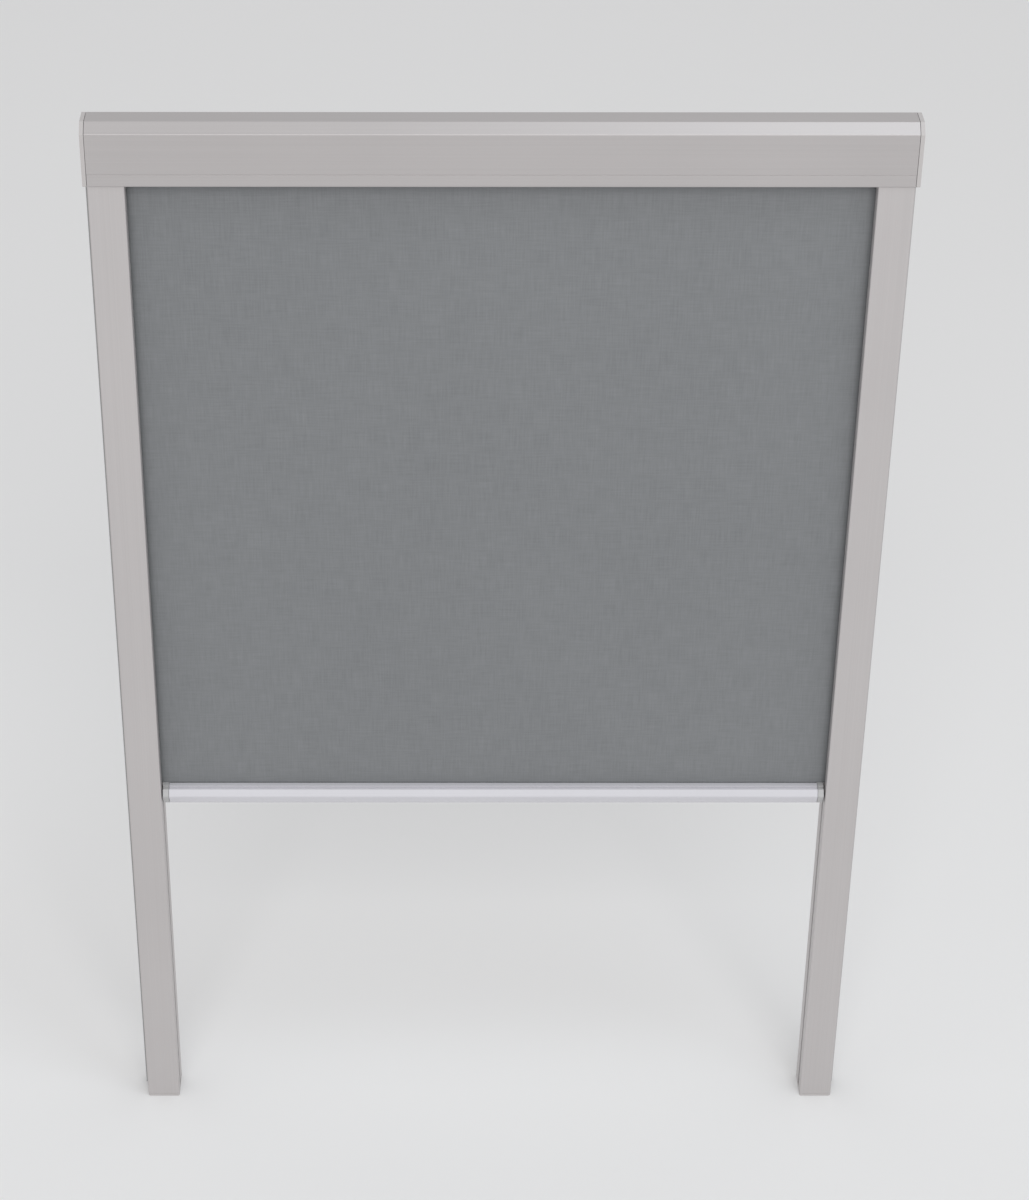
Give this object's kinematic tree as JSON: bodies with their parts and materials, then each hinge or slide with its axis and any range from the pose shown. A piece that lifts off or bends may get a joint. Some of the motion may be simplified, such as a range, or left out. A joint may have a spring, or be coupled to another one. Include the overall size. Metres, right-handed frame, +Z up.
{
  "type": "roof window roller blind",
  "caption": "Blackout roller blind for a roof window: sprung roller in a slim cassette, cloth held in side rails, and a pull bar that stays where it is left.",
  "frame": {"origin": "middle of the cassette's flat back face, where it lies against the head of the sash", "axes": "+X to the right across the blind as seen from the room, +Y from the room towards the glass, +Z up along the rails"},
  "size_m": [0.6118, 0.048, 0.9264],
  "materials": {
    "anodised_aluminium": "matt anodised",
    "tube_aluminium": "plain drawn",
    "steel": "zinc plated",
    "grey_plastic": "fine texture",
    "dark_grey_plastic": "fine texture",
    "white_plastic": "smooth",
    "blackout_cloth": "plain weave, mid grey",
    "pile": "short brush pile",
    "foam": "closed-cell foam"
  },
  "bodies": {
    "frame": {"cassette_cover": "anodised_aluminium", "cassette_base": "anodised_aluminium", "cassette_gasket": "foam", "exit_seal": "pile", "end_cap_left": "grey_plastic", "end_cap_right": "grey_plastic", "mounting_bracket_left": "steel", "mounting_bracket_right": "steel", "end_cap_screw_left_upper": "steel", "end_cap_screw_left_lower": "steel", "end_cap_screw_right_upper": "steel", "end_cap_screw_right_lower": "steel", "spring_shaft": "steel", "torsion_spring": "steel", "idle_pin": "steel", "rail_channel_left": "anodised_aluminium", "rail_channel_right": "anodised_aluminium", "rail_cover_left": "anodised_aluminium", "rail_cover_right": "anodised_aluminium", "rail_pile_front_left": "pile", "rail_pile_front_right": "pile", "rail_pile_rear_left": "pile", "rail_pile_rear_right": "pile", "rail_foot_left": "grey_plastic", "rail_foot_right": "grey_plastic", "rail_tape_left": "foam", "rail_tape_right": "foam", "fabric_sheet": "blackout_cloth"},
    "roller": {"roller_tube": "tube_aluminium", "fabric_roll": "blackout_cloth", "spring_bearing": "white_plastic", "spring_plug": "white_plastic", "idle_plug": "white_plastic"},
    "bottom_bar": {"bottom_bar": "anodised_aluminium", "fabric_spline": "white_plastic", "bar_seal": "pile", "bar_end_cap_left": "dark_grey_plastic", "bar_end_cap_right": "dark_grey_plastic", "bar_cap_screw_left": "steel", "bar_cap_screw_right": "steel", "bar_slider_left": "white_plastic", "bar_slider_right": "white_plastic", "brake_spring_left": "steel", "brake_spring_right": "steel"},
    "brake_shoe_left": {"brake_shoe_left": "dark_grey_plastic"},
    "brake_shoe_right": {"brake_shoe_right": "dark_grey_plastic"}
  },
  "joints": [
    {"name": "bar_slide", "type": "slide", "parent": "frame", "child": "bottom_bar", "axis": [0, 0, 1], "range_m": [-0.3154, 0.5395], "deforming": ["fabric_sheet"]},
    {"name": "roller_spin", "type": "hinge", "parent": "frame", "child": "roller", "pos_m": [0, -0.0195, 0.00535], "axis": [1, 0, 0], "range_deg": [-2150, 1260]},
    {"name": "brake_left", "type": "slide", "parent": "bottom_bar", "child": "brake_shoe_left", "axis": [1, 0, 0], "range_m": [0, 0.0012], "stiffness_N_per_m": 80, "springref_m": -0.01, "deforming": ["brake_spring_left"]},
    {"name": "brake_right", "type": "slide", "parent": "bottom_bar", "child": "brake_shoe_right", "axis": [-1, 0, 0], "range_m": [0, 0.0012], "stiffness_N_per_m": 80, "springref_m": -0.01, "deforming": ["brake_spring_right"]}
  ],
  "couplings": [
    {"joint": "roller_spin", "follows": "bar_slide", "rad_per_m": -69.437}
  ]
}
